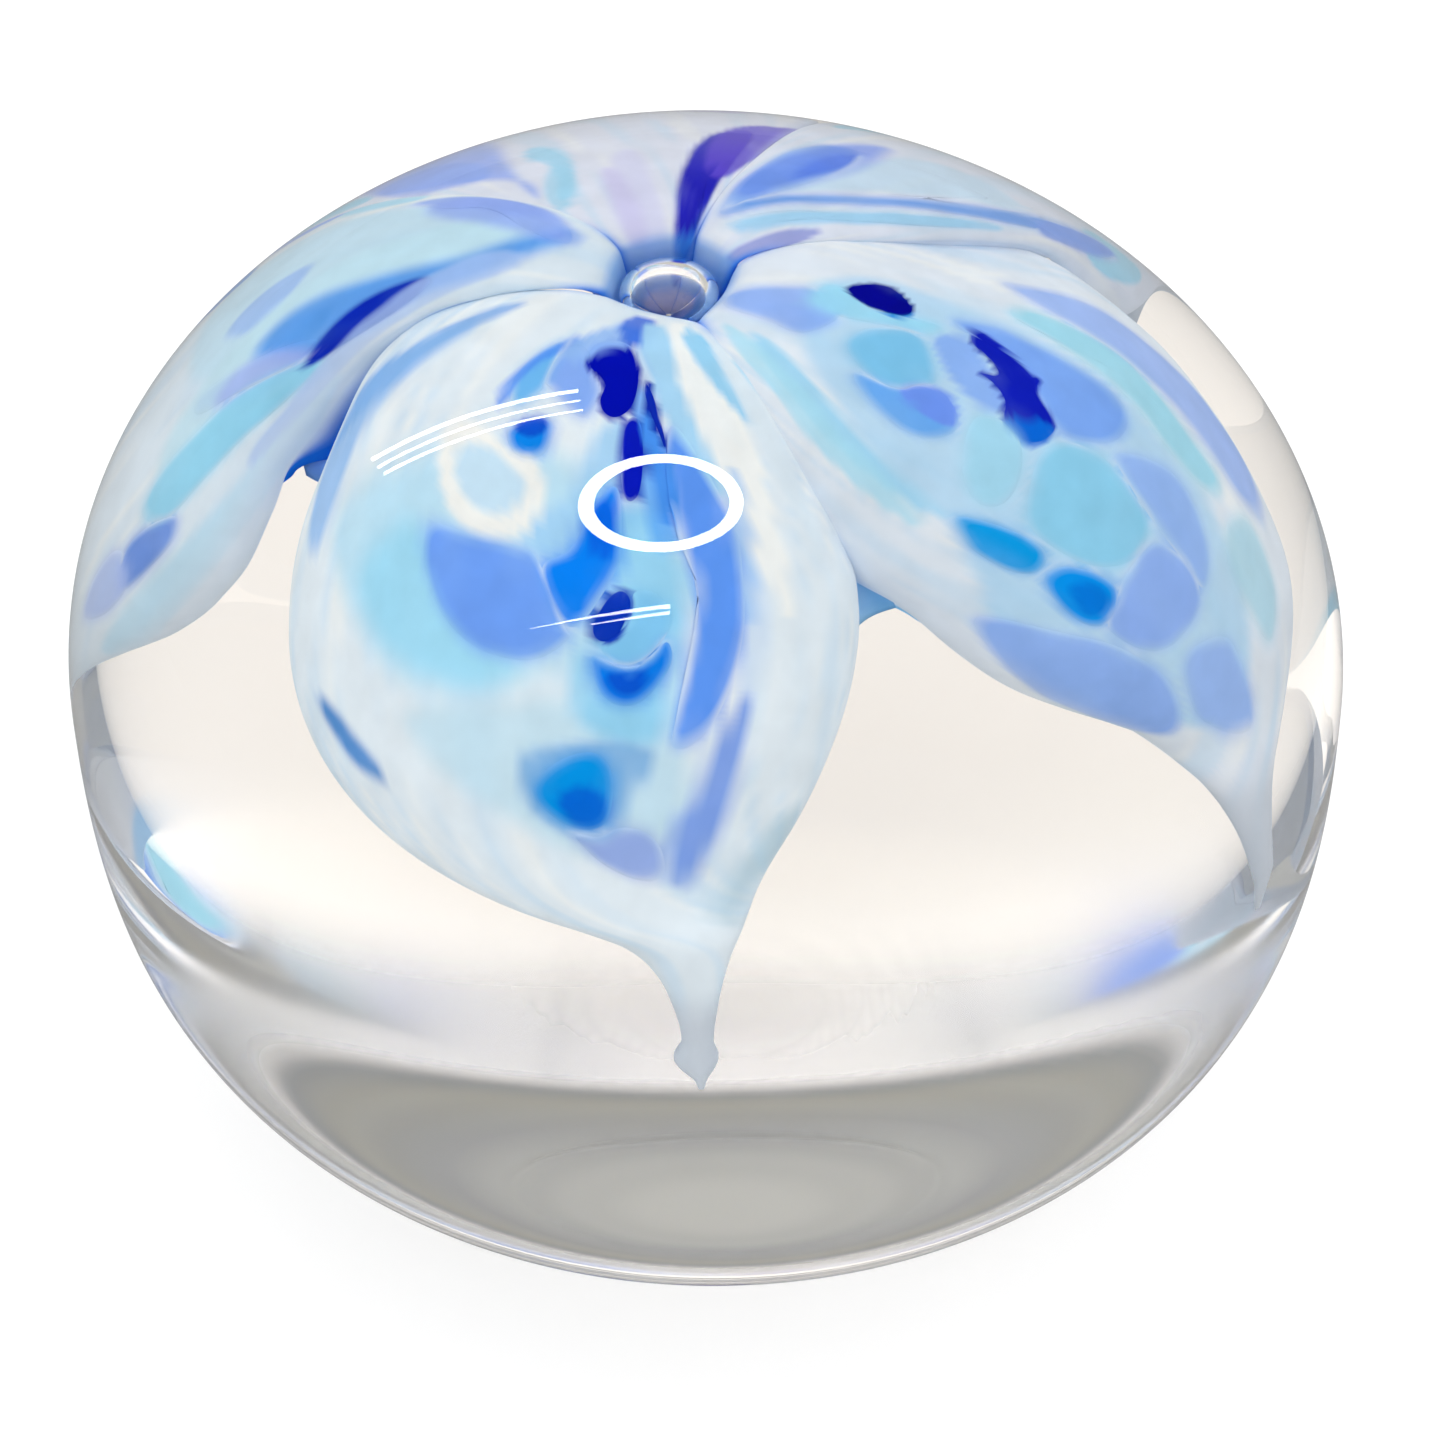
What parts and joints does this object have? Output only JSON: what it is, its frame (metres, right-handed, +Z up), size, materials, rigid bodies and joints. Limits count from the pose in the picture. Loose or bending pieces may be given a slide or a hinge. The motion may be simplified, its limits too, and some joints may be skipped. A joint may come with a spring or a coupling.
{
  "type": "paperweight",
  "caption": "Domed clear glass paperweight with a puffed petal flower in white and blue glass sealed inside, a trapped air bubble at its centre and a flat ground base.",
  "frame": {"origin": "centre of the flat base, on the surface the paperweight stands on", "axes": "+Z up through the dome, -Y towards the viewer at the front petal, +X to the viewer's right"},
  "size_m": [0.08, 0.08, 0.0635],
  "materials": {
    "clear_glass": "fire-polished clear glass, ground flat at the base",
    "core_glass": "clear glass",
    "opal_glass": "translucent opal white glass",
    "navy_glass": "melted navy blue glass",
    "azure_glass": "melted azure blue glass",
    "periwinkle_glass": "melted periwinkle blue glass",
    "aqua_glass": "melted aqua blue glass"
  },
  "bodies": {
    "root": {"clear_casing": "clear_glass", "inner_core": "core_glass", "petal_front": "opal_glass", "petal_right": "opal_glass", "petal_back_right": "opal_glass", "petal_back_left": "opal_glass", "petal_left": "opal_glass", "navy_chips": "navy_glass", "azure_chips": "azure_glass", "periwinkle_chips": "periwinkle_glass", "aqua_chips": "aqua_glass"}
  },
  "joints": []
}
